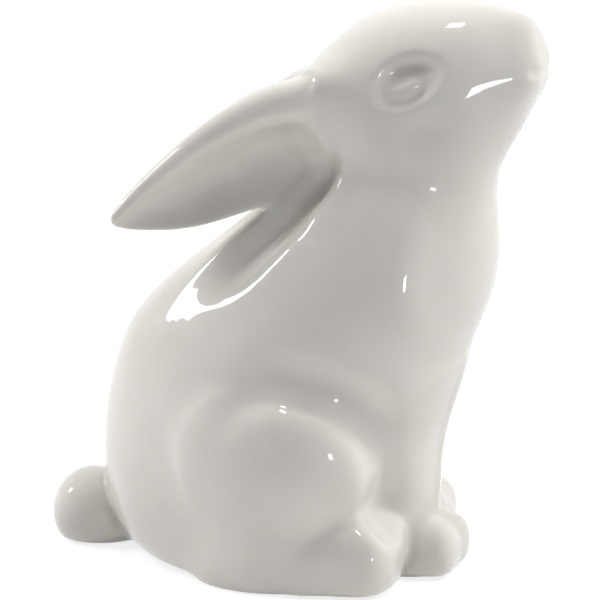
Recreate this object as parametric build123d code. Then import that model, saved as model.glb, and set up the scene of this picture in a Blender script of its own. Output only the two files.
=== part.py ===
"""Sitting ceramic rabbit with a raised head: hollow castings joined with slip and glazed.

Millimetres, +Z up. The rabbit faces +X and its left side is +Y. The origin is on the
resting plane, under the middle of the body, on the plane of symmetry.
"""

import os
from math import copysign, cos, pi, radians, sin

from build123d import *

# Casting
wall = 3.5
slab_thickness = 4.0
slab_recess = 0.8
vent_diameter = 9.0
vent_offset = 9.0
overrun = 2.0

# Trunk, from the foot ring to the top of the neck
trunk_length = 86.0
trunk_width = 56.0
trunk_height = 98.0

# Valleys behind the shoulder blades, by the way round from the front
nape_depth = 4.2
nape_turn_angle = 128.0
nape_half_angle = 20.0

# Head, along an axis that rises towards the nose, ahead of the neck's top and above it
head_length = 55.0
head_depth = 38.0
head_width = 33.0
head_rise_angle = 17.0
head_lead = 3.6
head_lift = 3.0

# Eyes, ahead of the head's middle, above it and inside its side: a ball in a dish
eye_lead = 3.7
eye_lift = 3.2
eye_inset = 1.2
eye_tilt_angle = 27.0
eye_turn_angle = 4.0
eye_lean_angle = 13.0
socket_length = 20.0
socket_height = 12.6
socket_reach = 7.0
socket_depth = 1.7
eyeball_length = 9.6
eyeball_height = 6.8
eyeball_reach = 2.8
eyeball_drop = 0.4
eyeball_setback = 1.6

# Ears, laid back from a root behind the head's middle, below it and inside its side
ear_length = 55.4
ear_width = 23.0
ear_thickness = 5.4
ear_hollow = 5.6
ear_hollow_skew_share = 0.3
ear_setback = 10.0
ear_drop = 4.0
ear_inset = 7.5
ear_fall_angle = 26.5
ear_spread_angle = 14.0
ear_roll_angle = 12.0

# Thighs, standing out of the trunk's sides and clear of the ground
thigh_length = 41.0
thigh_depth = 24.0
thigh_height = 40.0
thigh_place_share = 0.03
thigh_stand_out = 3.5
thigh_lift = 6.3

# Hind feet, a little inside the trunk's sides at the toes, which turn in, and ahead of its front
hind_foot_length = 39.5
hind_foot_width = 19.5
hind_foot_height = 16.0
hind_foot_inset = 0.4
hind_toe_reach = 3.6
hind_toe_in_angle = 6.0

# Forelegs, standing out of the trunk's front, and forepaws pressed together
foreleg_height = 56.0
foreleg_depth = 12.0
foreleg_width = 11.0
foreleg_stand_out = 6.0
forepaw_length = 20.0
forepaw_width = 10.0
forepaw_height = 11.6
forepaw_reach = 11.4
forepaw_pinch = 0.6

# Tail, set into the rump and flat underneath
tail_length = 18.3
tail_width = 17.2
tail_height = 19.0
tail_bite = 3.5
tail_flat = 3.5

# Points round each ring of a form, and how far they start off the plane of symmetry
ring_points = 12
trunk_ring_points = 24
seam_shift_share = 0.5

# How far above its middle a foot's ring is widest, and how square the ring is
foot_widest_share = 0.1
foot_square_share = 0.8

# Level, rearmost, foremost and widest place along the trunk, half width and nape valley
trunk_level_shares = [
    (0.000, -0.375, 0.265, -0.02, 0.80, 0.00),
    (0.026, -0.418, 0.275, -0.02, 0.90, 0.00),
    (0.085, -0.468, 0.280, -0.02, 0.98, 0.00),
    (0.190, -0.493, 0.280, -0.01, 1.00, 0.00),
    (0.300, -0.489, 0.300, 0.00, 0.99, 0.00),
    (0.400, -0.468, 0.355, 0.03, 0.96, 0.00),
    (0.500, -0.426, 0.425, 0.06, 0.92, 0.00),
    (0.600, -0.330, 0.472, 0.10, 0.86, 0.25),
    (0.690, -0.208, 0.490, 0.14, 0.78, 0.80),
    (0.770, -0.090, 0.488, 0.19, 0.69, 1.00),
    (0.840, -0.005, 0.478, 0.23, 0.58, 1.00),
    (0.910, 0.045, 0.440, 0.25, 0.47, 0.60),
    (1.000, 0.095, 0.380, 0.25, 0.32, 0.20),
]

# Place along the head, crown, jaw and widest place across its depth, and half width
head_station_shares = [
    (-0.430, 0.120, -0.150, 0.00, 0.30),
    (-0.390, 0.200, -0.260, -0.02, 0.54),
    (-0.300, 0.300, -0.400, -0.04, 0.80),
    (-0.160, 0.400, -0.530, -0.06, 0.98),
    (0.000, 0.450, -0.600, -0.08, 1.00),
    (0.130, 0.440, -0.600, -0.08, 0.93),
    (0.250, 0.395, -0.500, -0.05, 0.80),
    (0.345, 0.345, -0.380, -0.03, 0.65),
    (0.425, 0.285, -0.262, -0.05, 0.51),
    (0.485, 0.232, -0.168, -0.05, 0.39),
    (0.513, 0.185, -0.105, -0.03, 0.29),
    (0.523, 0.135, -0.050, 0.00, 0.18),
]

# Place along the ear, its width there and how far its upper rim thickens
ear_station_shares = [
    (0.000, 0.70, 2.40),
    (0.160, 0.93, 2.00),
    (0.287, 1.00, 1.40),
    (0.410, 0.98, 0.80),
    (0.630, 0.86, 0.30),
    (0.835, 0.58, 0.00),
    (0.935, 0.35, 0.00),
    (0.985, 0.18, 0.00),
    (1.000, 0.08, 0.00),
]

# Place along a foot from the toe back, half width, underside, which runs on below the ground, and top
foot_station_shares = [
    (0.000, 0.40, 0.30, 0.62),
    (0.012, 0.62, 0.18, 0.76),
    (0.040, 0.84, 0.00, 0.89),
    (0.100, 0.96, -0.40, 0.97),
    (0.200, 1.00, -0.85, 1.00),
    (0.330, 0.98, -0.86, 0.96),
    (0.500, 0.94, -0.72, 0.80),
    (0.700, 0.84, -0.60, 0.66),
    (0.860, 0.66, -0.48, 0.52),
    (0.955, 0.42, -0.34, 0.34),
    (1.000, 0.16, -0.14, 0.14),
]

# Level on the foreleg, rear and front reach from its middle, and outer reach
foreleg_level_shares = [
    (0.080, -0.50, 0.48, 0.92),
    (0.220, -0.46, 0.45, 0.94),
    (0.400, -0.50, 0.50, 1.05),
    (0.580, -0.75, 0.62, 1.28),
    (0.740, -1.05, 0.80, 1.50),
    (0.900, -1.20, 0.68, 1.52),
    (1.000, -1.05, 0.45, 1.20),
]


# Places that follow the trunk and the head
foot_level_shares = trunk_level_shares[2]
trunk_rear_x = foot_level_shares[1] * trunk_length
trunk_front_x = foot_level_shares[2] * trunk_length
neck_level_shares = trunk_level_shares[-1]
neck_x = (neck_level_shares[1] + neck_level_shares[2]) * trunk_length / 2
head_middle_x = neck_x + head_lead
head_middle_z = trunk_height + head_lift
ear_root = (head_middle_x - ear_setback, ear_inset - head_width / 2, head_middle_z - ear_drop)
thigh_middle = (
    thigh_place_share * trunk_length,
    thigh_depth / 2 - thigh_stand_out - trunk_width / 2,
    thigh_height / 2 + thigh_lift,
)
hind_foot_y = hind_foot_width / 2 + hind_foot_inset - trunk_width / 2
foreleg_x = trunk_front_x + foreleg_stand_out - foreleg_depth / 2
forepaw_y = forepaw_pinch - forepaw_width / 2
tail_middle = (trunk_rear_x + tail_bite - tail_length / 2, 0, tail_height / 2 - tail_flat)


def ring_turns(count):
    """Even angles round a ring, which keep its seam off the plane of symmetry."""
    return [2 * pi * (step + seam_shift_share) / count for step in range(count)]


def signed_power(value, power):
    """A power that keeps the sign, and makes a ring squarer where it is below 1."""
    return copysign(abs(value) ** power, value)


def oval_wire(middle, along, across, near, far, widest, half_width, square_share=1):
    """A smooth closed wire from near to far along one way, widest at a place between."""
    centre = (near + far) / 2
    half = (far - near) / 2
    points = []
    for turn in ring_turns(ring_points):
        reach = centre + half * signed_power(cos(turn), square_share)
        reach += (widest - centre) * sin(turn) ** 2
        side = half_width * signed_power(sin(turn), square_share)
        points.append(middle + along * reach + across * side)
    return smooth_wire(points)


def trunk_wire(level, rear, front, widest, half_width, valley):
    """A level ring of the trunk, drawn in by a valley behind each shoulder blade."""
    centre = (rear + front) / 2
    half = (front - rear) / 2
    points = []
    for turn in ring_turns(trunk_ring_points):
        away = abs(min(turn, 2 * pi - turn) - radians(nape_turn_angle))
        draw = valley * cos(pi / 2 * min(away / radians(nape_half_angle), 1)) ** 2
        x = centre + (half - draw) * cos(turn) + (widest - centre) * sin(turn) ** 2
        points.append(Vector(x, (half_width - draw) * sin(turn), level))
    return smooth_wire(points)


def smooth_wire(points):
    """One closed spline with evenly spaced knots, so that lofts through it stay light."""
    knots = [step / len(points) for step in range(len(points) + 1)]
    return Wire([Edge.make_spline(points, periodic=True, parameters=knots)])


def trunk_form(inset, drop):
    """The trunk's outer form, or its cavity when inset by the wall and dropped through the foot."""
    wires = []
    for level, rear, front, widest, width, valley in trunk_level_shares:
        wires.append(
            trunk_wire(
                level * trunk_height if level else -drop,
                rear * trunk_length + inset,
                front * trunk_length - inset,
                widest * trunk_length,
                width * trunk_width / 2 - inset,
                valley * nape_depth,
            )
        )
    return Solid.make_loft(wires)


def head_form(inset):
    """The head's outer form, or its cavity when inset by the wall."""
    rise = radians(head_rise_angle)
    along = Vector(cos(rise), 0, sin(rise))
    up = Vector(-along.Z, 0, along.X)
    middle = Vector(head_middle_x, 0, head_middle_z)
    reach_share = 1 - 2 * inset / head_length
    wires = []
    for place, crown, jaw, widest, width in head_station_shares:
        wires.append(
            oval_wire(
                middle + along * (place * reach_share * head_length),
                up,
                Vector(0, 1, 0),
                jaw * (head_depth - 2 * inset),
                crown * (head_depth - 2 * inset),
                widest * head_depth,
                width * (head_width / 2 - inset),
            )
        )
    return Solid.make_loft(wires)


def right_eye_plane(setback):
    """The plane that the right eye looks out of, with its x along the eye."""
    turn = radians(eye_turn_angle)
    lean = radians(eye_lean_angle)
    tilt = radians(eye_tilt_angle)
    out = Vector(sin(turn) * cos(lean), -cos(turn) * cos(lean), sin(lean))
    along = Vector(cos(tilt), 0, sin(tilt))
    place = Vector(head_middle_x + eye_lead, eye_inset - head_width / 2, head_middle_z + eye_lift)
    return Plane(origin=place - along * setback, x_dir=along, z_dir=out)


def right_eye_forms():
    """The dish of the right eye, and the ball that is set back in it."""
    dish = egg_form((0, 0, socket_reach / 2 - socket_depth), socket_length, socket_height, socket_reach)
    ball = egg_form(
        (0, 0, -eyeball_reach / 2 - eyeball_drop), eyeball_length, eyeball_height, eyeball_reach
    )
    return right_eye_plane(0) * dish, right_eye_plane(eyeball_setback) * ball


def right_ear_form():
    """A leaf with a hollow outer face and a rounded rim, on the right of the head."""
    back = Vector(-1, 0, 0).rotate(Axis.Y, -ear_fall_angle).rotate(Axis.Z, ear_spread_angle)
    outward = Vector(0, -1, 0).rotate(Axis.Z, ear_spread_angle)
    outward = outward.rotate(Axis((0, 0, 0), back), -ear_roll_angle)
    upward = back.cross(outward)
    wires = []
    for place, width, roll in ear_station_shares:
        middle = Vector(*ear_root) + back * (place * ear_length)
        half = width * ear_width / 2
        sink = width * ear_hollow
        rim = width * ear_thickness / 2
        points = []
        for turn in ring_turns(ring_points):
            skew = 1 - ear_hollow_skew_share * cos(turn)
            bulge = roll * ((1 + cos(turn)) / 2) ** 2 if sin(turn) > 0 else 0
            lift = rim * (1 + bulge) * sin(turn) - sink * skew * sin(turn) ** 2
            points.append(middle + upward * (half * cos(turn)) + outward * lift)
        wires.append(smooth_wire(points))
    return Solid.make_loft(wires)


def egg_form(middle, length, width, height):
    """An ellipsoid of the given sizes about its middle."""
    unit_egg = scale(Sphere(1), by=(length / 2, width / 2, height / 2))
    return Pos(*middle) * unit_egg


def right_thigh_form():
    """The round haunch that stands out of the trunk."""
    return egg_form(thigh_middle, thigh_length, thigh_depth, thigh_height)


def right_foot_form(toe_reach, toe_y, toe_in_angle, length, width, height):
    """A foot with a blunt toe and a lower heel, hind foot and forepaw alike."""
    turn = radians(toe_in_angle)
    toe = Vector(trunk_front_x + toe_reach, toe_y, 0)
    heelward = Vector(-cos(turn), -sin(turn), 0)
    wires = []
    for place, width_share, low_share, top_share in foot_station_shares:
        middle_share = (low_share + top_share) / 2
        half_share = (top_share - low_share) / 2
        wires.append(
            oval_wire(
                toe + heelward * (place * length),
                Vector(0, 0, 1),
                Vector(0, 1, 0),
                low_share * height,
                top_share * height,
                (middle_share + foot_widest_share * half_share) * height,
                width_share * width / 2,
                foot_square_share,
            )
        )
    return Solid.make_loft(wires)


def right_foreleg_form():
    """The leg, which runs up into the chest, with the forepaw at its foot."""
    wires = []
    for level, rear, front, outer in foreleg_level_shares:
        wires.append(
            oval_wire(
                Vector(foreleg_x, 0, level * foreleg_height),
                Vector(1, 0, 0),
                Vector(0, 1, 0),
                rear * foreleg_depth,
                front * foreleg_depth,
                (rear + front) * foreleg_depth / 2,
                outer * foreleg_width,
            )
        )
    paw = right_foot_form(
        forepaw_reach, forepaw_y, 0, forepaw_length, forepaw_width, forepaw_height
    )
    return right_half(Solid.make_loft(wires)) + right_half(paw)


def base_slab_form(cavity):
    """The closing slab in the trunk's foot, with the vent hole beside its middle."""
    blank = Pos(0, 0, slab_recess + slab_thickness / 2) * Box(
        2 * trunk_length, 2 * trunk_width, slab_thickness
    )
    vent = Pos(-vent_offset, 0, 0) * Cylinder(vent_diameter / 2, trunk_height)
    return (cavity & blank) - vent


def above_ground(shape):
    """What stands above the resting plane."""
    return split(shape, bisect_by=Plane.XY, keep=Keep.TOP)


def right_half(shape):
    """What lies on the rabbit's right of the plane of symmetry."""
    return split(shape, bisect_by=Plane.XZ, keep=Keep.TOP)


def build():
    """Every piece by name, each cut to sit on the pieces that carry it."""
    trunk = trunk_form(0, 0)
    cavity = trunk_form(wall, overrun)
    head = head_form(0)
    head_cavity = head_form(wall)
    dish, ball = right_eye_forms()
    sockets = dish + mirror(dish, about=Plane.XZ)
    eyeballs = ball + mirror(ball, about=Plane.XZ)
    tail = above_ground(egg_form(tail_middle, tail_length, tail_width, tail_height))
    pieces = {
        "trunk_shell": trunk - cavity - head_cavity,
        "head_shell": head - head_cavity - trunk - sockets + eyeballs,
        "base_slab": base_slab_form(cavity),
        "tail": tail - trunk,
    }
    right_forms = {
        "thigh": right_thigh_form(),
        "hind_foot": right_foot_form(
            hind_toe_reach,
            hind_foot_y,
            hind_toe_in_angle,
            hind_foot_length,
            hind_foot_width,
            hind_foot_height,
        ),
        "foreleg": right_foreleg_form(),
        "ear": right_ear_form(),
    }
    for side in ("right", "left"):
        forms = {}
        for name, form in right_forms.items():
            sided = form if side == "right" else mirror(form, about=Plane.XZ)
            forms[name] = above_ground(sided)
        thigh = forms["thigh"]
        hind_foot = forms["hind_foot"] - trunk - thigh
        pieces[f"{side}_thigh"] = thigh - trunk
        pieces[f"{side}_hind_foot"] = hind_foot
        pieces[f"{side}_foreleg"] = forms["foreleg"] - trunk - thigh - hind_foot
        pieces[f"{side}_ear"] = forms["ear"] - head - trunk
    return pieces


os.makedirs("parts", exist_ok=True)
for name, piece in build().items():
    export_step(piece, f"parts/{name}.step")
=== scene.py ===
"""Sitting rabbit in white glaze: a smooth skin for each casting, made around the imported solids.

The solids become distance fields. These are melted together with fillets of slip, carved with
the face and the folds of the body, and handed out again as one closed skin for each casting.
Lengths are in metres. The rabbit faces +X and its left side is +Y.
"""

from functools import cache
from math import cos, radians, sin

import bpy
import numpy as np
import openvdb
from bpy.props import FloatProperty, FloatVectorProperty, IntProperty, PointerProperty
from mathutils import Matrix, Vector


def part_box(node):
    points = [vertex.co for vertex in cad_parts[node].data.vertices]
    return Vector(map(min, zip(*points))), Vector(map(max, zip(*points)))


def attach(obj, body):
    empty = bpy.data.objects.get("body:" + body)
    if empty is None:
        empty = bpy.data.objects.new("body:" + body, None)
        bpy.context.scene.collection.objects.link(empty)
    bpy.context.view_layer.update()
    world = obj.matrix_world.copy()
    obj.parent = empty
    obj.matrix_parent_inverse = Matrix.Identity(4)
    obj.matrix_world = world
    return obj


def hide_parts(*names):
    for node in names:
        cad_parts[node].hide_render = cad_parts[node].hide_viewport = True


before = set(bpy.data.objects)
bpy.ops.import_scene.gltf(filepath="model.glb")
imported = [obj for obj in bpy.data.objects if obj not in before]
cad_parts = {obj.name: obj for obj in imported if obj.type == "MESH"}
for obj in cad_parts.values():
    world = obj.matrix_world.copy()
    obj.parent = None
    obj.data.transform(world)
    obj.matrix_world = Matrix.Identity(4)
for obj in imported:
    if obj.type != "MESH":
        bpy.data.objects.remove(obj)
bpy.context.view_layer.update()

bl_info = {
    "name": "Glazed Rabbit",
    "version": (1, 0, 0),
    "blender": (4, 5, 0),
    "location": "View3D > Sidebar > Rabbit",
    "description": "Dresses the castings of a sitting ceramic rabbit in a smooth white glaze",
    "category": "Object",
}

SIDES = {"right": -1, "left": 1}
GLAZED = sorted(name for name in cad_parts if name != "base_slab")
MILLIMETRES = 1000

# Where blends begin and end, as shares along the casting that is named, from its rear
CHEST_SHARES = (0.81, 0.89)
HEEL_SHARES = (0.25, 0.60)
EAR_ROOT_SHARES = (0.55, 0.90)

# The thigh's crease fades along a way that leans forward and up, between two places on it
THIGH_FORWARD, THIGH_UPWARD = 0.8, 0.6
THIGH_FADE = (-0.9, 0.5)

# Ways at the left ear: where its upper rim looks, out of its hollow face and up along that face
EAR_SKYWARD = (-0.25, 0.45, 0.86)
EAR_OUTWARD = (0.327, 0.926, -0.186)
EAR_UPWARD = (-0.373, 0.307, 0.875)

# Spacings, in lattice steps, at which a form is softened
LEG_SPACINGS = (1, 2, 4, 8)
EASE_SPACINGS = (1, 2, 4)
EASE_ROOM_STEPS = 16

# How points are brought onto the skin
FIT_ROUNDS = 4
LEAST_SLOPE = 0.2
LEAST_SQUARE = 0.05
EDGE_STEPS = 0.8
MOUTH_POINTS = 7

# Fineness of the noises, and the parts of the clouds that pool the glaze and dull it
CLOUD_DETAIL, RIPPLE_DETAIL, GRAIN_DETAIL = 3, 1, 4
CLOUD_POOL = (0.45, 0.80)
CLOUD_GLOSS = (0.35, 0.65)

# Lamps: degrees round the figure from the right side, degrees up, width, height, shown in the gloss
LAMPS = {
    "rear": (-95, 42, 0.55, 0.55, False),
    "fore": (108, 51, 0.55, 0.55, False),
    "window": (-80, 26, 0.12, 0.17, True),
    "front": (38, 0, 0.09, 0.11, True),
    "top": (0, 78, 0.12, 0.12, True),
}

# Lines on the skin: shares along and up the box of the casting that carries them, and strength
BROW_SHARES = (
    (0.430, 0.540, 0.0),
    (0.441, 0.575, 0.4),
    (0.476, 0.637, 0.9),
    (0.522, 0.669, 1.0),
    (0.576, 0.677, 1.0),
    (0.626, 0.666, 0.8),
    (0.650, 0.640, 0.3),
)
LID_SHARES = (
    (0.425, 0.430, 0.0),
    (0.455, 0.442, 0.5),
    (0.490, 0.453, 0.9),
    (0.524, 0.465, 1.0),
    (0.557, 0.499, 1.0),
    (0.589, 0.541, 0.9),
    (0.620, 0.586, 0.6),
    (0.645, 0.632, 0.0),
)
BLADE_SHARES = (
    (0.329, 0.598, 1.0),
    (0.392, 0.640, 1.0),
    (0.453, 0.693, 1.0),
    (0.512, 0.750, 1.0),
)
TOE_SHARES = (
    (0.880, 0.800, 1.0),
    (0.950, 0.400, 1.0),
)
PAW_SHARES = (
    (0.720, 0.220, 1.0),
    (0.850, 0.080, 1.0),
)
CHEEK_SHARES = ((0.480, 0.345, 0.3), (0.590, 0.310, 1.0), (0.690, 0.255, 0.3))
EAR_CREST_SHARES = (
    (0.040, 0.125, 0.25),
    (0.081, 0.188, 0.35),
    (0.196, 0.340, 0.5),
    (0.430, 0.603, 0.7),
    (0.656, 0.791, 0.9),
    (0.769, 0.851, 1.0),
    (0.874, 0.890, 1.0),
    (0.980, 0.960, 0.9),
)
EAR_HOLLOW_SHARES = (
    (0.830, 0.690, 0.2),
    (0.780, 0.663, 0.7),
    (0.617, 0.513, 1.0),
    (0.456, 0.352, 1.0),
    (0.304, 0.245, 0.2),
)
BREAST_SHARES = (
    (0.850, 0.865, 0.0),
    (0.844, 0.800, 0.8),
    (0.834, 0.730, 1.0),
    (0.836, 0.670, 1.0),
    (0.856, 0.605, 0.7),
    (0.890, 0.550, 0.0),
)
HAUNCH_SHARES = (
    (0.395, 0.310, 0.0),
    (0.422, 0.378, 0.4),
    (0.476, 0.431, 0.7),
    (0.546, 0.465, 0.9),
    (0.619, 0.478, 1.0),
    (0.689, 0.459, 1.0),
    (0.735, 0.414, 1.0),
    (0.761, 0.349, 1.0),
    (0.773, 0.281, 0.8),
    (0.776, 0.220, 0.2),
)


def length(name, description, default):
    """A length that a user may change."""
    return FloatProperty(
        name=name, description=description, default=default, min=0, precision=5, unit="LENGTH"
    )


def share(name, description, default):
    """A share from none to all that a user may change."""
    return FloatProperty(
        name=name, description=description, default=default, min=0, max=1, subtype="FACTOR"
    )


def number(name, description, default, unit="NONE"):
    """A plain number, or a power, that a user may change."""
    return FloatProperty(name=name, description=description, default=default, min=0, unit=unit)


def colour(name, description, default):
    """A colour that a user may change."""
    return FloatVectorProperty(
        name=name, description=description, default=default, min=0, max=1, size=3, subtype="COLOR"
    )


class RabbitForm(bpy.types.PropertyGroup):
    """Sizes of the fillets and the carving."""

    step: length("Lattice step", "Distance between the points of the fields", 0.0005)
    margin: length("Margin", "Room round the figure in the fields", 0.004)
    reach: length("Reach", "How far from a casting its distance is known", 0.016)
    hollow_top: length("Hollow top", "Level up to which the trunk is left hollow", 0.040)
    filled_depth: length("Filled depth", "Depth below the skin given to filled hollows", 0.002)
    neck_fillet: length("Neck fillet", "Width of the blend between head and trunk", 0.008)
    shoulder_fillet: length("Shoulder fillet", "Width of the blend between shoulder and trunk", 0.015)
    chest_ease: share("Chest ease", "How far that blend is taken back at the chest", 0.7)
    paw_fillet: length("Paw fillet", "Width of the blend behind the forepaw", 0.007)
    paw_parting: length("Paw parting", "Width of the crease between the forelegs", 0.0045)
    thigh_fillet: length("Thigh fillet", "Width of the crease over the thigh", 0.0032)
    rump_fillet: length("Rump fillet", "Width of the blend where the thigh fades into the rump", 0.015)
    rump_sink: length("Rump sink", "How far the rear of the thigh is sunk in the rump", 0.0020)
    toe_fillet: length("Toe fillet", "Width of the crease round the toes", 0.0022)
    heel_fillet: length("Heel fillet", "Width of the blend where the heel fades into the rump", 0.014)
    tail_fillet: length("Tail fillet", "Width of the crease round the tail", 0.0030)
    tail_foot: length("Tail foot", "Width of the blend under the tail", 0.012)
    ear_fillet: length("Ear fillet", "Width of the blend at the ear's root", 0.015)
    ear_edge: length("Ear edge", "Width of the blend where the ear passes the back", 0.0008)
    crest_radius: length("Crest radius", "Radius of the cut along the ear's upper rim", 0.016)
    crest_depth: length("Crest depth", "Depth of the cut along the ear's upper rim", 0.0024)
    roll_radius: length("Roll radius", "Radius of the roll along the ear's upper rim", 0.0042)
    roll_top: length("Roll top", "How far the roll stands up over the cut's line", 0.0026)
    roll_fillet: length("Roll fillet", "Width of the blends along the roll", 0.0020)
    ear_hollow_radius: length("Ear hollow radius", "Radius of the fold inside the ear", 0.005)
    ear_hollow_depth: length("Ear hollow depth", "Depth of the fold inside the ear", 0.0013)
    foot_round: length("Foot round", "Rounding of the edge that the figure stands on", 0.0020)
    brow_radius: length("Brow radius", "Radius of the hollow under the brow", 0.0030)
    brow_depth: length("Brow depth", "Depth of the hollow under the brow", 0.0011)
    lid_radius: length("Lid radius", "Radius of the line along the lower lid", 0.0010)
    lid_depth: length("Lid depth", "Depth of the line along the lower lid", 0.0005)
    blade_radius: length("Blade radius", "How far the shoulder blade's edge is eased", 0.012)
    toe_radius: length("Toe radius", "How far the hind toes are eased", 0.015)
    paw_radius: length("Paw radius", "How far the forepaws are eased", 0.008)
    face_fillet: length("Face fillet", "Width of the blends in the face", 0.0016)
    cheek_radius: length("Cheek radius", "Radius of the hollow below the eye", 0.010)
    cheek_depth: length("Cheek depth", "Depth of the hollow below the eye", 0.0009)
    mouth_radius: length("Mouth radius", "Radius of the groove of the mouth", 0.0012)
    mouth_depth: length("Mouth depth", "Depth of the groove of the mouth", 0.0006)
    mouth_width: length("Mouth width", "Width of the mouth", 0.011)
    breast_radius: length("Breast radius", "Radius of the turn from shoulder to breast", 0.008)
    breast_lift: length("Breast lift", "How far that turn stands out", 0.0004)
    haunch_radius: length("Haunch radius", "Radius of the valley round the thigh", 0.0075)
    haunch_depth: length("Haunch depth", "Depth of the valley round the thigh", 0.0014)
    fold_fillet: length("Fold fillet", "Width of the blends along the body's folds", 0.004)
    seam_lap: length("Seam lap", "How far a casting runs on under the next one", 0.0004)
    seam_dip: share("Seam dip", "How steeply it dips there", 0.1)
    mouth_level: share("Mouth level", "Height of the mouth on the head", 0.622)
    glaze_passes: IntProperty(
        name="Glaze passes", description="Times that the glaze softens the form", default=2, min=0
    )
    # Softening that finds the hollows, which take pooled glaze and painted shade
    pooled_shade_passes: IntProperty(
        name="Pool passes", description="Doublings of the reach in which glaze pools", default=3, min=1
    )


class RabbitFinish(bpy.types.PropertyGroup):
    """Colours and gloss of the glaze and the bare clay."""

    glaze: colour("Glaze", "Colour of the white glaze", (0.715, 0.688, 0.645))
    # Pooled glaze and painted shade: the glaze is darkened towards this colour in the hollows
    pooled_glaze_and_shade: colour("Pooled glaze", "Colour where the glaze lies thick", (0.50, 0.475, 0.43))
    pinhole: colour("Pinhole", "Colour in a pinhole of the glaze", (0.30, 0.27, 0.23))
    pinholes: share("Pinholes", "How far a pinhole shows", 0.35)
    biscuit: colour("Biscuit", "Colour of the bare fired clay", (0.66, 0.62, 0.55))
    gloss_low: share("Least roughness", "Roughness of the clearest glaze", 0.03)
    gloss_high: share("Most roughness", "Roughness of the dullest glaze", 0.08)
    refraction: number("Refraction", "Refractive index of the glaze", 1.52)
    # How deep a hollow must be for its full pooled glaze and painted shade, and how far it then takes
    # that colour
    pooled_shade_depth: number("Pool depth", "Depth of a hollow, in millimetres, that is full of glaze", 0.4)
    pooled_shade_share: share("Pool share", "How far a full hollow takes the pooled colour", 0.75)
    cloud_share: share("Cloud share", "How far the clouds in the glaze take it", 0.25)
    cloud_scale: number("Cloud scale", "Clouds in the glaze to a metre", 55)
    ripple_scale: number("Ripple scale", "Ripples in the glaze to a metre", 160)
    ripple: length("Ripple", "Height of the ripples in the glaze", 0.00002)
    pinhole_scale: number("Pinhole scale", "Pinholes to a metre", 80)
    pinhole_inner: share("Pinhole inner", "Share of the space between pinholes that is dark", 0.012)
    pinhole_outer: share("Pinhole outer", "Share of it at which the white is back", 0.020)
    biscuit_shade: share("Biscuit shade", "How light the darker grains of the clay are", 0.88)
    biscuit_roughness: share("Biscuit roughness", "Roughness of the bare clay", 0.85)
    grain_scale: number("Grain scale", "Grains of the clay to a metre", 1800)
    grain_strength: share("Grain strength", "How far the grain shows", 0.3)
    grain_depth: length("Grain depth", "Depth of the grain", 0.0001)


class RabbitStage(bpy.types.PropertyGroup):
    """Camera, lamps and floor."""

    azimuth: FloatProperty(
        name="Azimuth", description="Way round the figure", default=radians(19), subtype="ANGLE"
    )
    elevation: FloatProperty(
        name="Elevation", description="Height over the horizon", default=radians(12.5), subtype="ANGLE"
    )
    distance: length("Distance", "From the camera to the figure", 0.85)
    aim_level: length("Aim level", "Height that the camera is set out from", 0.060)
    aim_drop: length("Aim drop", "How far below that height the picture's middle lies", 0.00485)
    frame_width: length("Frame width", "Width of the picture at the figure", 0.1237)
    floor_size: length("Floor size", "Side of the floor", 6.0)
    floor: colour("Floor", "Colour of the floor", (0.85, 0.85, 0.85))
    floor_roughness: share("Floor roughness", "Roughness of the floor", 0.9)
    rear_power: number("Rear", "Power of the soft box behind", 8.7, "POWER")
    fore_power: number("Fore", "Power of the soft box before", 10.4, "POWER")
    window_power: number("Window", "Power of the lamp behind", 1.3, "POWER")
    front_power: number("Front", "Power of the lamp in front", 0.5, "POWER")
    top_power: number("Top", "Power of the lamp overhead", 1.2, "POWER")
    lamp_distance: length("Lamp distance", "From the lamps to the figure", 1.0)
    shadow_near: length("Shadow near", "Where the floor's shadow begins to fade", 0.08)
    shadow_far: length("Shadow far", "Where the floor is all white", 0.25)
    floor_veil: share("Floor veil", "How far the floor is veiled in white beside the figure", 0.7)
    floor_glow: number("Floor glow", "How white the floor looks", 1.15)
    world_level: number("World level", "Light from all round", 0.01)


class Field:
    """Values on a lattice of points at whole steps from the origin."""

    def __init__(self, values, first, step):
        self.values = values
        self.first = np.array(first)
        self.step = step

    def axis(self, way):
        """Places along one axis, shaped to spread over the lattice."""
        shape = [1, 1, 1]
        shape[way] = -1
        places = (self.first[way] + np.arange(self.values.shape[way])) * self.step
        return places.astype(np.float32).reshape(shape)

    def window(self, low, high):
        """The slices of the lattice that hold a box."""
        begin = np.floor(np.array(low) / self.step).astype(int) - self.first
        end = np.ceil(np.array(high) / self.step).astype(int) - self.first + 1
        return tuple(
            slice(max(b, 0), min(e, n)) for b, e, n in zip(begin, end, self.values.shape)
        )

    def part(self, window):
        """The field inside a window, sharing its values."""
        return Field(self.values[window], self.first + [s.start for s in window], self.step)

    def read(self, places):
        """Smoothed value and slope at each place, by cubic B-splines."""
        count = np.array(self.values.shape)
        spots = np.asarray(places, float) / self.step - self.first
        cell = np.clip(np.floor(spots).astype(int), 1, count - 3)
        weights = [spline_weights(spots[:, way] - cell[:, way]) for way in range(3)]
        value = np.zeros(len(spots))
        slope = np.zeros((len(spots), 3))
        (wx, sx), (wy, sy), (wz, sz) = weights
        flat = self.values.reshape(-1)
        row = count[2]
        sheet = count[1] * row
        corner = (cell[:, 0] - 1) * sheet + (cell[:, 1] - 1) * row + cell[:, 2] - 1
        for i in range(4):
            for j in range(4):
                line = corner + i * sheet + j * row
                level = sum(wz[k] * flat[line + k] for k in range(4))
                rise = sum(sz[k] * flat[line + k] for k in range(4))
                value += wx[i] * wy[j] * level
                slope[:, 0] += sx[i] * wy[j] * level
                slope[:, 1] += wx[i] * sy[j] * level
                slope[:, 2] += wx[i] * wy[j] * rise
        return value, slope / self.step


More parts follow.
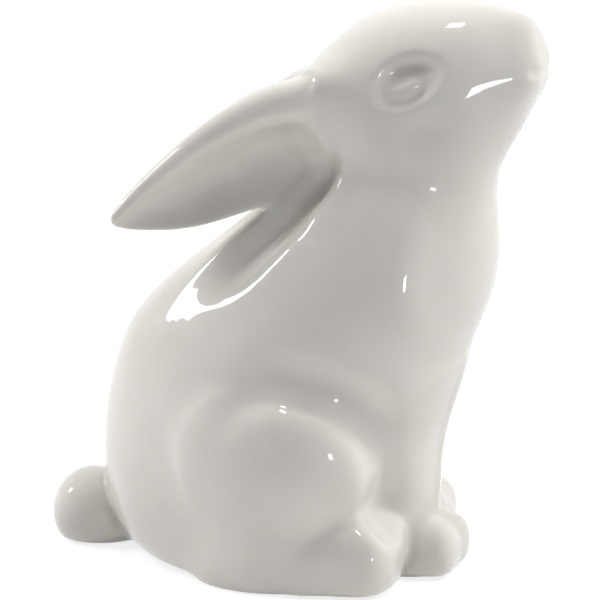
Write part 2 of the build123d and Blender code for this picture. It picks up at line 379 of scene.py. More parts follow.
def spline_weights(t):
    """Weights of the four lattice points round a place, and the weights of its slope."""
    weights = ((1 - t) ** 3, 3 * t**3 - 6 * t**2 + 4, -3 * t**3 + 3 * t**2 + 3 * t + 1, t**3)
    slopes = (-((1 - t) ** 2), 3 * t**2 - 4 * t, -3 * t**2 + 2 * t + 1, t**2)
    return [w / 6 for w in weights], [s / 2 for s in slopes]


def melt(field, other, width):
    """Two distance fields as one form, with a fillet where they meet."""
    overlap = np.maximum(1 - np.abs(field - other) / width, 0)
    return np.minimum(field, other) - width * overlap**3 / 6


def cut(field, tool, width):
    """A form without what the tool covers, with a rounded edge."""
    return -melt(-field, tool, width)


def ramp(places, begin, end):
    """A smooth rise from 0 at begin to 1 at end."""
    t = np.clip((places - begin) / (end - begin), 0, 1)
    return t * t * (3 - 2 * t)


def unit(vectors):
    """Vectors at length 1."""
    return vectors / np.maximum(np.linalg.norm(vectors, axis=-1, keepdims=True), 1e-12)


def smooth_line(points, spans=6):
    """A curve through the points, as a denser row of points."""
    points = np.asarray(points, float)
    padded = np.vstack([2 * points[0] - points[1], points, 2 * points[-1] - points[-2]])
    rows = []
    for before, a, b, after in zip(padded, padded[1:], padded[2:], padded[3:]):
        for t in np.arange(spans) / spans:
            bend = 2 * before - 5 * a + 4 * b - after
            twist = 3 * a - before - 3 * b + after
            rows.append(a + ((b - before) * t + bend * t**2 + twist * t**3) / 2)
    return np.array(rows + [points[-1]])


def rod_distance(field, line, radius):
    """Distance from each lattice point to a rod along a line, of one radius or one for each point."""
    x, y, z = (field.axis(way) for way in range(3))
    nearest = np.full(field.values.shape, np.inf, np.float32)
    radii = np.broadcast_to(radius, len(line))
    for a, b, first, last in zip(line, line[1:], radii, radii[1:]):
        run = b - a
        squared = max(float(run @ run), 1e-18)
        along = ((x - a[0]) * run[0] + (y - a[1]) * run[1] + (z - a[2]) * run[2]) / squared
        along = np.clip(along, 0, 1)
        gap = (x - a[0] - along * run[0]) ** 2
        gap = gap + (y - a[1] - along * run[1]) ** 2
        gap = gap + (z - a[2] - along * run[2]) ** 2
        nearest = np.minimum(nearest, np.sqrt(gap) - first - along * (last - first))
    return nearest


def casting_distance(node, blank, reach):
    """Distance from each lattice point to a casting, below zero inside it."""
    mesh = node.data
    points = np.empty(len(mesh.vertices) * 3, np.float32)
    mesh.vertices.foreach_get("co", points)
    mesh.calc_loop_triangles()
    corners = np.empty(len(mesh.loop_triangles) * 3, np.int32)
    mesh.loop_triangles.foreach_get("vertices", corners)
    grid = openvdb.FloatGrid.createLevelSetFromPolygons(
        points.reshape(-1, 3),
        triangles=corners.reshape(-1, 3),
        transform=openvdb.createLinearTransform(voxelSize=blank.step),
        halfWidth=reach / blank.step,
    )
    values = np.empty(blank.values.shape, np.float32)
    grid.copyToArray(values, ijk=tuple(int(i) for i in blank.first))
    return values


class Figure:
    """The castings as distance fields: each by itself, and all as one smooth skin."""

    def __init__(self, form):
        self.form = form
        boxes = np.array([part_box(name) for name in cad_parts])
        first = np.floor((boxes[:, 0].min(0) - form.margin) / form.step).astype(int)
        last = np.ceil((boxes[:, 1].max(0) + form.margin) / form.step).astype(int)
        self.skin = Field(np.zeros(last - first + 1, np.float32), first, form.step)
        self.castings = {
            name: casting_distance(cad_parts[name], self.skin, form.reach) for name in GLAZED
        }
        self.join()
        self.carve_ears()
        self.carve_face()
        self.carve_body()
        for _ in range(form.glaze_passes):
            soften(self.skin.values, 1)
        # A softer copy of the skin, for the hollows that get pooled glaze and painted shade
        self.broad = Field(self.skin.values.copy(), self.skin.first, form.step)
        for turn in range(form.pooled_shade_passes):
            soften(self.broad.values, 2**turn)
        self.stand()
        self.rank()

    def join(self):
        """Melts the castings together, and fills the hollow above the level that shows from below."""
        form = self.form
        x, z = self.skin.axis(0), self.skin.axis(2)
        trunk, head = self.castings["trunk_shell"], self.castings["head_shell"]
        hollow = enclosed((trunk < 0) | (head < 0)) & (trunk > 0) & (head > 0)
        skin = melt(trunk, head, form.neck_fillet)
        legs = melt(self.castings["left_foreleg"], self.castings["right_foreleg"], form.paw_parting)
        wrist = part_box("right_hind_foot")[1].z
        filled = legs.copy()
        for spacing in LEG_SPACINGS:
            soften(filled, spacing)
        legs = np.minimum(legs, filled + form.reach * ramp(z, wrist, 2 * wrist))
        rise = ramp(z, wrist / 2, 2 * wrist)
        rear, fore = self.reach_along("trunk_shell", CHEST_SHARES)
        rise = rise * (1 - form.chest_ease * ramp(x, rear, fore))
        skin = melt(skin, legs, form.paw_fillet + (form.shoulder_fillet - form.paw_fillet) * rise)
        upon_head = ramp(trunk - head, -form.ear_fillet / 4, form.ear_fillet / 2)
        for side in SIDES:
            fade = self.thigh_fade(side, x, z)
            thigh = self.castings[f"{side}_thigh"] + form.rump_sink * (1 - fade)
            skin = melt(skin, thigh, form.rump_fillet + (form.thigh_fillet - form.rump_fillet) * fade)
            rear, fore = self.reach_along(f"{side}_hind_foot", HEEL_SHARES)
            fillet = form.heel_fillet + (form.toe_fillet - form.heel_fillet) * ramp(x, rear, fore)
            skin = melt(skin, self.castings[f"{side}_hind_foot"], fillet)
            rear, fore = self.reach_along(f"{side}_ear", EAR_ROOT_SHARES)
            root = ramp(x, rear, fore) * upon_head
            fillet = form.ear_edge + (form.ear_fillet - form.ear_edge) * root
            skin = melt(skin, self.castings[f"{side}_ear"], fillet)
        lifted = ramp(z, 0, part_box("tail")[1].z / 2)
        fillet = form.tail_foot + (form.tail_fillet - form.tail_foot) * lifted
        skin = melt(skin, self.castings["tail"], fillet)
        low = z < form.hollow_top
        self.skin.values = np.where(hollow, np.where(low, trunk, -form.filled_depth), skin)
        neck = (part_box("head_shell")[0].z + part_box("trunk_shell")[1].z) / 2
        head[hollow & (z > neck)] = -form.filled_depth
        trunk[hollow & (z <= neck)] = -form.filled_depth

    def reach_along(self, name, shares):
        """Places along a casting, from its rear."""
        low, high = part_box(name)
        return [low.x + (high.x - low.x) * part for part in shares]

    def thigh_fade(self, side, x, z):
        """1 above and in front of a thigh, where it has a crease, and 0 behind and below it."""
        low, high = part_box(f"{side}_thigh")
        forward = (2 * x - low.x - high.x) / (high.x - low.x)
        upward = (2 * z - low.z - high.z) / (high.z - low.z)
        return ramp(THIGH_FORWARD * forward + THIGH_UPWARD * upward, *THIGH_FADE)

    def on_skin(self, name, shares, side):
        """Points on one side of the skin, its normals there and strengths, for a line of shares."""
        low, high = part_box(name)
        middle = -self.skin.first[1]
        points = []
        for along, up, _ in shares:
            x = low.x + along * (high.x - low.x)
            z = low.z + up * (high.z - low.z)
            i = int(round(x / self.skin.step)) - self.skin.first[0]
            k = int(round(z / self.skin.step)) - self.skin.first[2]
            column = self.skin.values[i, :, k]
            inside = np.nonzero(column < 0)[0]
            if not len(inside):
                raise RuntimeError(f"no skin of {name} at {along}, {up}")
            points.append((x, side * abs(inside[0 if side < 0 else -1] - middle) * self.skin.step, z))
        points = np.array(points)
        for _ in range(FIT_ROUNDS):
            value, slope = self.skin.read(points)
            flat = np.abs(slope[:, 1]) < LEAST_SLOPE
            points[:, 1] -= value / np.where(flat, LEAST_SLOPE * side, slope[:, 1])
        return points, unit(self.skin.read(points)[1]), np.array(shares)[:, 2:]

    def work(self, points, room):
        """The part of the skin round some points, and its place."""
        window = self.skin.window(points.min(0) - room, points.max(0) + room)
        return window, self.skin.part(window)

    def groove(self, line, radius, depth, fillet, guard=None):
        """Presses a round rod along a line into the skin, less where the line is weak or guarded."""
        points, normals, strengths = line
        off = radius - depth * strengths + fillet * (1 - strengths) / 2
        rod = smooth_line(points + normals * off)
        window, part = self.work(rod, radius + 2 * fillet)
        tool = rod_distance(part, rod, radius)
        if guard is not None:
            tool = tool + guard[window]
        part.values[:] = cut(part.values, tool, fillet)

    def ridge(self, line, radius, lift, fillet):
        """Lays a round rod along a line on the skin, less where the line is weak."""
        points, normals, strengths = line
        off = radius - lift * strengths + fillet * (1 - strengths) / 2
        rod = smooth_line(points - normals * off)
        _, part = self.work(rod, radius + 2 * fillet)
        part.values[:] = melt(part.values, rod_distance(part, rod, radius), fillet)

    def ease(self, line, radius, inset=0):
        """Softens the skin near a line, or near one that lies deeper."""
        points, normals, _ = line
        rod = smooth_line(points - inset * normals)
        _, part = self.work(rod, radius + EASE_ROOM_STEPS * self.skin.step)
        soft = part.values.copy()
        for spacing in EASE_SPACINGS:
            soften(soft, spacing)
        near = 1 - ramp(rod_distance(part, rod, 0), radius / 2, radius)
        part.values[:] += near * (soft - part.values)

    def carve_ears(self):
        """A fold inside each ear, and a roll along its upper rim in place of the flat edge."""
        form = self.form
        for name, side in SIDES.items():
            fold = self.on_skin(f"{name}_ear", EAR_HOLLOW_SHARES, side)
            points, _, strengths = self.on_skin(f"{name}_ear", EAR_CREST_SHARES, side)
            self.groove(fold, form.ear_hollow_radius, form.ear_hollow_depth, form.fold_fillet)
            mirror = np.array([1, side, 1])
            skyward = np.tile(unit(EAR_SKYWARD * mirror), (len(points), 1))
            nearer = self.castings[f"{name}_ear"] - self.castings["head_shell"]
            guard = form.reach * ramp(nearer, -form.ear_fillet / 4, form.ear_fillet / 4)
            line = (points, skyward, strengths)
            self.groove(line, form.crest_radius, form.crest_depth, form.roll_fillet, guard)
            radii = form.roll_radius * strengths
            sunk = radii - form.roll_top * strengths
            middles = points - EAR_OUTWARD * mirror * radii - EAR_UPWARD * mirror * sunk
            rod = smooth_line(np.hstack([middles, radii]))
            _, part = self.work(rod[:, :3], form.roll_radius + 2 * form.roll_fillet)
            roll = rod_distance(part, rod[:, :3], rod[:, 3])
            part.values[:] = melt(part.values, roll, form.roll_fillet)

    def carve_face(self):
        """The hollows under the brows, the lower lids, the cheeks and the mouth."""
        form = self.form
        for side in SIDES.values():
            cheek = self.on_skin("head_shell", CHEEK_SHARES, side)
            brow = self.on_skin("head_shell", BROW_SHARES, side)
            lid = self.on_skin("head_shell", LID_SHARES, side)
            self.groove(cheek, form.cheek_radius, form.cheek_depth, form.fold_fillet)
            self.groove(brow, form.brow_radius, form.brow_depth, form.face_fillet)
            self.groove(lid, form.lid_radius, form.lid_depth, form.face_fillet)
        self.carve_mouth()

    def carve_mouth(self):
        """A short groove across the front of the muzzle."""
        form = self.form
        low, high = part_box("head_shell")
        z = low.z + form.mouth_level * (high.z - low.z)
        k = int(round(z / self.skin.step)) - self.skin.first[2]
        points = []
        for y in np.linspace(-form.mouth_width / 2, form.mouth_width / 2, MOUTH_POINTS):
            j = int(round(y / self.skin.step)) - self.skin.first[1]
            inside = np.nonzero(self.skin.values[:, j, k] < 0)[0]
            points.append(((inside[-1] + self.skin.first[0]) * self.skin.step, y, z))
        points = np.array(points)
        for _ in range(FIT_ROUNDS):
            value, slope = self.skin.read(points)
            points[:, 0] -= value / np.maximum(slope[:, 0], LEAST_SLOPE)
        line = (points, unit(self.skin.read(points)[1]), np.ones((len(points), 1)))
        self.groove(line, form.mouth_radius, form.mouth_depth, form.face_fillet)

    def carve_body(self):
        """The eased shoulder blades, toes and paws, the breast and the valleys round the thighs."""
        form = self.form
        for name, side in SIDES.items():
            breast = self.on_skin("trunk_shell", BREAST_SHARES, side)
            haunch = self.on_skin("trunk_shell", HAUNCH_SHARES, side)
            blade = self.on_skin("trunk_shell", BLADE_SHARES, side)
            toe = self.on_skin(f"{name}_hind_foot", TOE_SHARES, side)
            paw = self.on_skin(f"{name}_foreleg", PAW_SHARES, side)
            self.ease(blade, form.blade_radius)
            self.ease(toe, form.toe_radius, form.toe_radius / 2)
            self.ease(paw, form.paw_radius, form.paw_radius / 2)
            self.ridge(breast, form.breast_radius, form.breast_lift, form.fold_fillet)
            self.groove(haunch, form.haunch_radius, form.haunch_depth, form.fold_fillet)

    def stand(self):
        """Cuts the figure flat on the ground, with a rounded edge."""
        ground = np.broadcast_to(self.skin.axis(2), self.skin.values.shape)
        self.skin.values = cut(self.skin.values, ground, self.form.foot_round)

    def rank(self):
        """Finds the nearest casting to each lattice point, and how far the nearest two are."""
        shape = self.skin.values.shape
        self.owner = np.zeros(shape, np.uint8)
        self.nearest = np.full(shape, np.inf, np.float32)
        self.second = np.full(shape, np.inf, np.float32)
        for index, name in enumerate(GLAZED):
            distance = self.castings[name]
            closer = distance < self.nearest
            self.second = np.where(closer, self.nearest, np.minimum(self.second, distance))
            self.owner[closer] = index
            self.nearest = np.minimum(self.nearest, distance)

    def seam(self, name, window):
        """Below zero where a casting is the nearest one."""
        own = self.owner[window] == GLAZED.index(name)
        others = np.where(own, self.second[window], self.nearest[window])
        return (self.castings[name][window] - others) / 2

    def casting_skin(self, name):
        """The closed skin of one casting: its points, its quads and their normals."""
        low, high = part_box(name)
        room = Vector([self.form.reach / 2] * 3)
        window = self.skin.window(low - room, high + room)
        skin = self.skin.part(window)
        lap = self.form.seam_lap
        seam = Field(self.seam(name, window) - lap, skin.first, skin.step)
        points, quads = polygons(np.maximum(skin.values, seam.values), skin.first, skin.step)
        points, normals, dip = fit_points(points, quads, skin, seam, lap)
        return points - dip * self.form.seam_dip, quads, normals


def soften(values, spacing):
    """Rounds a form a little, as a coat of glaze does, between points some steps apart."""
    for way in range(3):
        rows = np.moveaxis(values, way, 0)
        inner = (rows[: -2 * spacing] + 2 * rows[spacing:-spacing] + rows[2 * spacing :]) / 4
        rows[spacing:-spacing] = inner


def enclosed(solid):
    """Where a level slice has solid on all four sides."""
    fills = []
    for way in (0, 1):
        fills.append(np.logical_or.accumulate(solid, axis=way))
        fills.append(np.flip(np.logical_or.accumulate(np.flip(solid, way), axis=way), way))
    return fills[0] & fills[1] & fills[2] & fills[3]


def polygons(values, first, step):
    """Points and quads where a field crosses zero."""
    grid = openvdb.FloatGrid(1.0)
    grid.copyFromArray(np.ascontiguousarray(values), ijk=tuple(int(i) for i in first))
    grid.transform = openvdb.createLinearTransform(voxelSize=step)
    points, quads = grid.convertToQuads(isovalue=0.0)
    return points.astype(float), quads.astype(np.int64)


def fit_points(points, quads, skin, seam, lap):
    """Moves points onto the skin, the seam or the edge where they meet.

    Gives also the normals at the quads' corners, and how far each point has run past its seam.
    """
    value, _ = skin.read(points)
    gap, _ = seam.read(points)
    close = EDGE_STEPS * skin.step
    edge = (np.abs(value) < close) & (np.abs(gap) < close)
    shown = (value >= gap) & ~edge
    sides = np.stack([quads, np.roll(quads, -1, axis=1)], axis=2).reshape(-1, 2)
    for turn in range(FIT_ROUNDS):
        if turn < FIT_ROUNDS - 1:
            total = np.zeros_like(points)
            count = np.zeros(len(points))
            for a, b in (sides.T, sides.T[::-1]):
                for way in range(3):
                    total[:, way] += np.bincount(a, points[b, way], len(points))
                count += np.bincount(a, minlength=len(points))
            middle = total / np.maximum(count, 1)[:, None]
            points = np.where(edge[:, None], points, (points + middle) / 2)
        for _ in range(2):
            value, slope = skin.read(points)
            gap, rise = seam.read(points)
            points = points + fit_step(value, slope, gap, rise, shown, edge, skin.step)
    value, slope = skin.read(points)
    gap, rise = seam.read(points)
    middle = points[quads].mean(axis=1)
    front = skin.read(middle)[0] >= seam.read(middle)[0]
    known = (shown | edge)[quads].all(axis=1)
    hidden = (~shown)[quads].any(axis=1) & ~known
    front = np.where((shown & ~edge)[quads].any(axis=1), True, np.where(hidden, False, front))
    normals = np.where(front[:, None, None], unit(slope)[quads], unit(rise)[quads])
    past = np.where(shown | edge, np.maximum(gap + lap, 0), 0)
    return points, normals, unit(slope) * past[:, None]


def fit_step(value, slope, gap, rise, shown, edge, step):
    """The shortest moves that bring points onto their surfaces."""
    ss = np.maximum((slope**2).sum(1), LEAST_SQUARE)
    rr = np.maximum((rise**2).sum(1), LEAST_SQUARE)
    sr = (slope * rise).sum(1)
    to_skin = -slope * (value / ss)[:, None]
    to_seam = -rise * (gap / rr)[:, None]
    det = np.maximum(ss * rr - sr**2, LEAST_SQUARE * ss * rr)
    a = -(rr * value - sr * gap) / det
    b = -(ss * gap - sr * value) / det
    to_edge = slope * a[:, None] + rise * b[:, None]
    move = np.where(edge[:, None], to_edge, np.where(shown[:, None], to_skin, to_seam))
    far = np.linalg.norm(move, axis=1, keepdims=True)
    return move * np.minimum(1, step / np.maximum(far, 1e-12))


@cache
def figure():
    """The figure's fields, made once for all the castings."""
    return Figure(bpy.context.scene.rabbit_form)


def facing_out(points, quads, normals):
    """Quads and normals, turned round if most of the quads face inward."""
    one = points[quads[:, 2]] - points[quads[:, 0]]
    other = points[quads[:, 3]] - points[quads[:, 1]]
    facing = (np.cross(one, other) * normals.mean(axis=1)).sum(axis=1)
    if (facing < 0).mean() > 0.5:
        return quads[:, ::-1], normals[:, ::-1]
    return quads, normals


def glazed_casting(name):
    """Adds the glazed skin of one casting in place of its solid."""
    points, quads, normals = figure().casting_skin(name)
    if len(quads) == 0:
        raise RuntimeError(f"the skin of {name} is empty")
    quads, normals = facing_out(points, quads, normals)
    mesh = bpy.data.meshes.new(name + "_glazed")
    mesh.vertices.add(len(points))
    mesh.vertices.foreach_set("co", points.astype(np.float32).ravel())
    mesh.loops.add(quads.size)
    mesh.polygons.add(len(quads))
    mesh.loops.foreach_set("vertex_index", quads.astype(np.int32).ravel())
    mesh.polygons.foreach_set("loop_start", np.arange(0, quads.size, 4, dtype=np.int32))
    mesh.polygons.foreach_set("use_smooth", np.ones(len(quads), bool))
    mesh.update(calc_edges=True)
    if mesh.validate():
        raise RuntimeError(f"the skin of {name} has broken faces")
    mesh.normals_split_custom_set(normals.reshape(-1, 3).astype(np.float32))
    # Depth of each point in a hollow, which darkens the glaze with pooled glaze and painted shade
    hollow = mesh.attributes.new("hollow", "FLOAT", "POINT")
    depth = -MILLIMETRES * figure().broad.read(points)[0]
    hollow.data.foreach_set("value", depth.astype(np.float32))
    piece = bpy.data.objects.new(name + "_glazed", mesh)
    bpy.context.scene.collection.objects.link(piece)
    mesh.materials.append(glaze_material())
    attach(piece, "root")
    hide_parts(name)
    print(f"{piece.name}: {len(points)} points, {len(quads)} quads")


def new_material(name):
    """A material, its nodes and its links."""
    material = bpy.data.materials.new(name)
    material.use_nodes = True
    return material, material.node_tree.nodes, material.node_tree.links


def noise(nodes, links, place, scale, detail):
    """A cloudy value over the object."""
    cloud = nodes.new("ShaderNodeTexNoise")
    cloud.inputs["Scale"].default_value = scale
    cloud.inputs["Detail"].default_value = detail
    links.new(place.outputs["Object"], cloud.inputs["Vector"])
    return cloud.outputs["Fac"]


def spread(nodes, links, value, begin, end, low, high):
    """A value moved from one range into another."""
    move = nodes.new("ShaderNodeMapRange")
    for name, level in (("From Min", begin), ("From Max", end), ("To Min", low), ("To Max", high)):
        move.inputs[name].default_value = level
    links.new(value, move.inputs["Value"])
    return move.outputs["Result"]


def tinted(nodes, links, part, first, second):
    """One colour going over into another, each a colour or a socket."""
    mix = nodes.new("ShaderNodeMix")
    mix.data_type = "RGBA"
    links.new(part, mix.inputs["Factor"])
    for name, tone in (("A", first), ("B", second)):
        if isinstance(tone, bpy.types.NodeSocket):
            links.new(tone, mix.inputs[name])
        else:
            mix.inputs[name].default_value = (*tone, 1)
    return mix.outputs["Result"]


def glaze_material():
    """Glossy white glaze, darker in the hollows with pooled glaze and painted shade, faintly rippled,
    with a few pinholes.
    """
    name = "white_glaze"
    if name in bpy.data.materials:
        return bpy.data.materials[name]
    finish = bpy.context.scene.rabbit_finish
    material, nodes, links = new_material(name)
    shader = nodes["Principled BSDF"]
    shader.inputs["IOR"].default_value = finish.refraction
    place = nodes.new("ShaderNodeTexCoord")
    cloud = noise(nodes, links, place, finish.cloud_scale, CLOUD_DETAIL)
    # Darker in the hollows, partly pooled glaze and partly painted shade, and darker in the clouds
    hollow = nodes.new("ShaderNodeAttribute")
    hollow.attribute_name = "hollow"
    pooled_shade_mix = nodes.new("ShaderNodeMath")
    pooled_shade_mix.operation = "ADD"
    deep = spread(nodes, links, hollow.outputs["Fac"], 0, finish.pooled_shade_depth, 0, finish.pooled_shade_share)
    links.new(deep, pooled_shade_mix.inputs[0])
    links.new(spread(nodes, links, cloud, *CLOUD_POOL, 0, finish.cloud_share), pooled_shade_mix.inputs[1])
    white = tinted(nodes, links, pooled_shade_mix.outputs[0], finish.glaze, finish.pooled_glaze_and_shade)
    cells = nodes.new("ShaderNodeTexVoronoi")
    cells.inputs["Scale"].default_value = finish.pinhole_scale
    links.new(place.outputs["Object"], cells.inputs["Vector"])
    inner, outer = finish.pinhole_inner, finish.pinhole_outer
    hole = spread(nodes, links, cells.outputs["Distance"], inner, outer, finish.pinholes, 0)
    white = tinted(nodes, links, hole, white, finish.pinhole)
    links.new(white, shader.inputs["Base Color"])
    gloss = spread(nodes, links, cloud, *CLOUD_GLOSS, finish.gloss_low, finish.gloss_high)
    links.new(gloss, shader.inputs["Roughness"])
    bump = nodes.new("ShaderNodeBump")
    bump.inputs["Strength"].default_value = 1.0
    bump.inputs["Distance"].default_value = finish.ripple
    height = noise(nodes, links, place, finish.ripple_scale, RIPPLE_DETAIL)
    links.new(height, bump.inputs["Height"])
    links.new(bump.outputs["Normal"], shader.inputs["Normal"])
    return material


def biscuit_material():
    """Bare fired clay, matt and finely grained."""
    finish = bpy.context.scene.rabbit_finish
    material, nodes, links = new_material("bare_biscuit")
    shader = nodes["Principled BSDF"]
    shader.inputs["Roughness"].default_value = finish.biscuit_roughness
    place = nodes.new("ShaderNodeTexCoord")
    grain = noise(nodes, links, place, finish.grain_scale, GRAIN_DETAIL)
    dark = [finish.biscuit_shade * part for part in finish.biscuit]
    links.new(tinted(nodes, links, grain, dark, finish.biscuit), shader.inputs["Base Color"])
    bump = nodes.new("ShaderNodeBump")
    bump.inputs["Strength"].default_value = finish.grain_strength
    bump.inputs["Distance"].default_value = finish.grain_depth
    links.new(grain, bump.inputs["Height"])
    links.new(bump.outputs["Normal"], shader.inputs["Normal"])
    return material


class RABBIT_OT_trunk(bpy.types.Operator):
    """Glaze the trunk, hollow up to where it shows from below"""

    bl_idname = "rabbit.trunk"
    bl_label = "Trunk"

    def execute(self, context):
        glazed_casting("trunk_shell")
        return {"FINISHED"}


class RABBIT_OT_head(bpy.types.Operator):
    """Glaze the head, with its eyes, cheeks and mouth"""

    bl_idname = "rabbit.head"
    bl_label = "Head"

    def execute(self, context):
        glazed_casting("head_shell")
        return {"FINISHED"}


class RABBIT_OT_ears(bpy.types.Operator):
    """Glaze both ears"""

    bl_idname = "rabbit.ears"
    bl_label = "Ears"

    def execute(self, context):
        for side in SIDES:
            glazed_casting(f"{side}_ear")
        return {"FINISHED"}


class RABBIT_OT_thighs(bpy.types.Operator):
    """Glaze both thighs"""

    bl_idname = "rabbit.thighs"
    bl_label = "Thighs"

    def execute(self, context):
        for side in SIDES:
            glazed_casting(f"{side}_thigh")
        return {"FINISHED"}


class RABBIT_OT_hind_feet(bpy.types.Operator):
    """Glaze both hind feet"""

    bl_idname = "rabbit.hind_feet"
    bl_label = "Hind feet"

    def execute(self, context):
        for side in SIDES:
            glazed_casting(f"{side}_hind_foot")
        return {"FINISHED"}


class RABBIT_OT_forelegs(bpy.types.Operator):
    """Glaze both forelegs with their paws"""

    bl_idname = "rabbit.forelegs"
    bl_label = "Forelegs"

    def execute(self, context):
        for side in SIDES:
            glazed_casting(f"{side}_foreleg")
        return {"FINISHED"}


class RABBIT_OT_tail(bpy.types.Operator):
    """Glaze the tail"""

    bl_idname = "rabbit.tail"
    bl_label = "Tail"

    def execute(self, context):
        glazed_casting("tail")
        return {"FINISHED"}


class RABBIT_OT_base_slab(bpy.types.Operator):
    """Give the base slab its bare clay"""

    bl_idname = "rabbit.base_slab"
    bl_label = "Base slab"

    def execute(self, context):
        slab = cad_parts["base_slab"]
        slab.data.materials.clear()
        slab.data.materials.append(biscuit_material())
        return {"FINISHED"}


class RABBIT_OT_stage(bpy.types.Operator):
    """Set the camera, the lamps and the floor"""

    bl_idname = "rabbit.stage"
    bl_label = "Stage"

    def execute(self, context):
        stage = context.scene.rabbit_stage
        context.scene.view_settings.view_transform = "Standard"
        add_camera(context.scene, stage)
        add_floor(context.scene, stage)
        add_world(context.scene, stage)
        for name in LAMPS:
            add_lamp(name, stage)
        return {"FINISHED"}


def way_from(azimuth, elevation):
    """The way from the figure to a place round it and up."""
    level = cos(elevation)
    return Vector((sin(azimuth) * level, -cos(azimuth) * level, sin(elevation)))


def add_camera(scene, stage):
    """A long lens at the photograph's viewing angle."""
    right = Vector((cos(stage.azimuth), sin(stage.azimuth), 0))
    back = way_from(stage.azimuth, stage.elevation)
    camera = bpy.data.objects.new("camera", bpy.data.cameras.new("camera"))
    scene.collection.objects.link(camera)
    aim = Vector((0, 0, stage.aim_level))
    camera.location = aim + back * stage.distance
    look = aim - back.cross(right) * stage.aim_drop - camera.location
    camera.rotation_mode = "QUATERNION"
    camera.rotation_quaternion = look.to_track_quat("-Z", "Y")
    camera.data.lens = camera.data.sensor_width * stage.distance / stage.frame_width
    camera.data.clip_start = stage.distance / 100
    scene.camera = camera


def add_floor(scene, stage):
    """A pale floor that looks white and keeps the shadow."""
    half = stage.floor_size / 2
    mesh = bpy.data.meshes.new("floor")
    corners = [(-half, -half, 0), (half, -half, 0), (half, half, 0), (-half, half, 0)]
    mesh.from_pydata(corners, [], [(0, 1, 2, 3)])
    floor = bpy.data.objects.new("floor", mesh)
    scene.collection.objects.link(floor)
    material, nodes, links = new_material("pale_floor")
    shader = nodes["Principled BSDF"]
    shader.inputs["Base Color"].default_value = (*stage.floor, 1)
    shader.inputs["Roughness"].default_value = stage.floor_roughness
    shader.inputs["Specular IOR Level"].default_value = 0
    glow = nodes.new("ShaderNodeEmission")
    glow.inputs["Strength"].default_value = stage.floor_glow
    seen = seen_rays(nodes, links)
    place = nodes.new("ShaderNodeTexCoord")
    away = nodes.new("ShaderNodeVectorMath")
    away.operation = "LENGTH"
    links.new(place.outputs["Object"], away.inputs[0])
    part = nodes.new("ShaderNodeMath")
    part.operation = "MULTIPLY"
    near, far = stage.shadow_near, stage.shadow_far
    veil = spread(nodes, links, away.outputs["Value"], near, far, stage.floor_veil, 1)
    links.new(seen, part.inputs[0])
    links.new(veil, part.inputs[1])
    mix = nodes.new("ShaderNodeMixShader")
    links.new(part.outputs[0], mix.inputs["Fac"])
    links.new(shader.outputs[0], mix.inputs[1])
    links.new(glow.outputs[0], mix.inputs[2])
    links.new(mix.outputs[0], nodes["Material Output"].inputs["Surface"])
    mesh.materials.append(material)


def seen_rays(nodes, links):
    """1 for rays from the camera, off gloss or through glass, and else 0."""
    path = nodes.new("ShaderNodeLightPath")
    most = path.outputs["Is Camera Ray"]
    for name in ("Is Glossy Ray", "Is Transmission Ray"):
        pick = nodes.new("ShaderNodeMath")
        pick.operation = "MAXIMUM"
        links.new(most, pick.inputs[0])
        links.new(path.outputs[name], pick.inputs[1])
        most = pick.outputs[0]
    return most


def add_world(scene, stage):
    """Even light from all round, seen as white."""
    world = bpy.data.worlds.new("studio")
    scene.world = world
    world.use_nodes = True
    nodes, links = world.node_tree.nodes, world.node_tree.links
    seen = seen_rays(nodes, links)
    level = nodes.new("ShaderNodeMapRange")
    level.inputs["To Min"].default_value = stage.world_level
    level.inputs["To Max"].default_value = 1.0
    links.new(seen, level.inputs["Value"])
    background = nodes["Background"]
    background.inputs["Color"].default_value = (1, 1, 1, 1)
    links.new(level.outputs["Result"], background.inputs["Strength"])


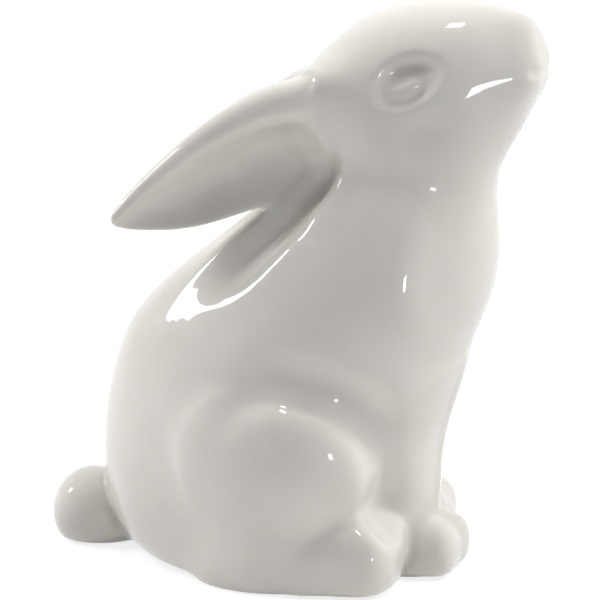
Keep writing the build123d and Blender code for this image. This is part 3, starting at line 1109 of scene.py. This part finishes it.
def add_lamp(name, stage):
    """A soft rectangular lamp, some way off the figure."""
    azimuth, elevation, width, height, glossy = LAMPS[name]
    data = bpy.data.lights.new(name, "AREA")
    data.shape = "RECTANGLE"
    data.size, data.size_y = width, height
    data.energy = getattr(stage, f"{name}_power")
    lamp = bpy.data.objects.new(name, data)
    bpy.context.scene.collection.objects.link(lamp)
    lamp.visible_glossy = glossy
    way = way_from(radians(azimuth), radians(elevation))
    lamp.location = Vector((0, 0, stage.aim_level)) + way * stage.lamp_distance
    lamp.rotation_mode = "QUATERNION"
    lamp.rotation_quaternion = (-way).to_track_quat("-Z", "Y")


class RABBIT_PT_castings(bpy.types.Panel):
    """The rabbit's castings, finish and stage"""

    bl_idname = "RABBIT_PT_castings"
    bl_label = "Rabbit"
    bl_space_type = "VIEW_3D"
    bl_region_type = "UI"
    bl_category = "Rabbit"

    def draw(self, context):
        for operator in OPERATORS:
            self.layout.operator(operator.bl_idname)
        for name in GROUPS:
            settings = getattr(context.scene, name)
            box = self.layout.box()
            for key in settings.__annotations__:
                box.prop(settings, key)


OPERATORS = (
    RABBIT_OT_trunk,
    RABBIT_OT_head,
    RABBIT_OT_ears,
    RABBIT_OT_thighs,
    RABBIT_OT_hind_feet,
    RABBIT_OT_forelegs,
    RABBIT_OT_tail,
    RABBIT_OT_base_slab,
    RABBIT_OT_stage,
)
GROUPS = {"rabbit_form": RabbitForm, "rabbit_finish": RabbitFinish, "rabbit_stage": RabbitStage}


def register():
    """Adds the settings, the operators and the panel to Blender."""
    for name, group in GROUPS.items():
        bpy.utils.register_class(group)
        setattr(bpy.types.Scene, name, PointerProperty(type=group))
    for operator in OPERATORS:
        bpy.utils.register_class(operator)
    bpy.utils.register_class(RABBIT_PT_castings)


def unregister():
    """Takes them away again."""
    bpy.utils.unregister_class(RABBIT_PT_castings)
    for operator in reversed(OPERATORS):
        bpy.utils.unregister_class(operator)
    for name, group in GROUPS.items():
        delattr(bpy.types.Scene, name)
        bpy.utils.unregister_class(group)


def main():
    register()
    for operator in OPERATORS:
        group, name = operator.bl_idname.split(".")
        getattr(getattr(bpy.ops, group), name)()


if __name__ == "__main__":
    main()
